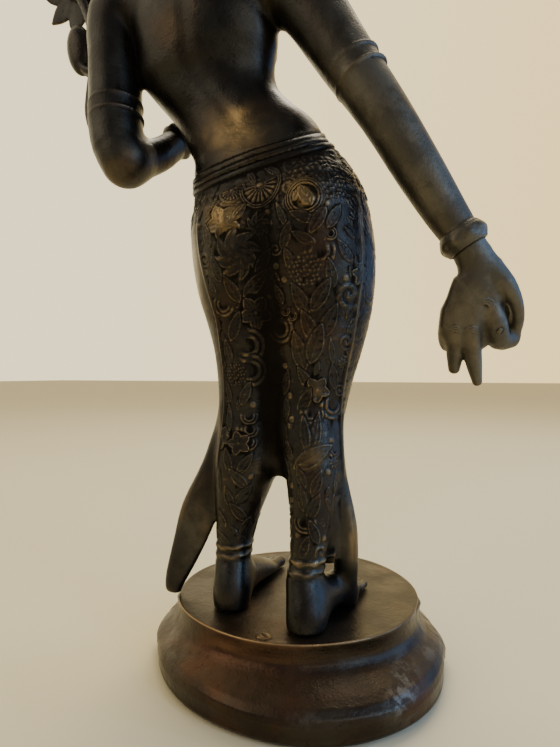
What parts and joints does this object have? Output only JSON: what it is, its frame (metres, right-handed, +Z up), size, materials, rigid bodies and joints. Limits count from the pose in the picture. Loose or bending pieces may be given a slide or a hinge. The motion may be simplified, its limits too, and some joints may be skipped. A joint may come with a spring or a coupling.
{
  "type": "tara figure",
  "caption": "Standing goddess of cast bronze on a round lotus plinth, right hand lowered in blessing, left hand holding a lotus stem.",
  "frame": {"origin": "middle of the plinth's flat underside", "axes": "+Z up; the figure faces -Y and its own right hand is on the -X side"},
  "size_m": [0.2773, 0.1382, 0.4562],
  "materials": {
    "figure_bronze": "dark brown patinated cast bronze, worn golden on high spots",
    "plinth_bronze": "reddish brown patinated cast bronze, rim worn golden"
  },
  "bodies": {
    "root": {"figure": "figure_bronze", "plinth": "plinth_bronze"}
  },
  "joints": []
}
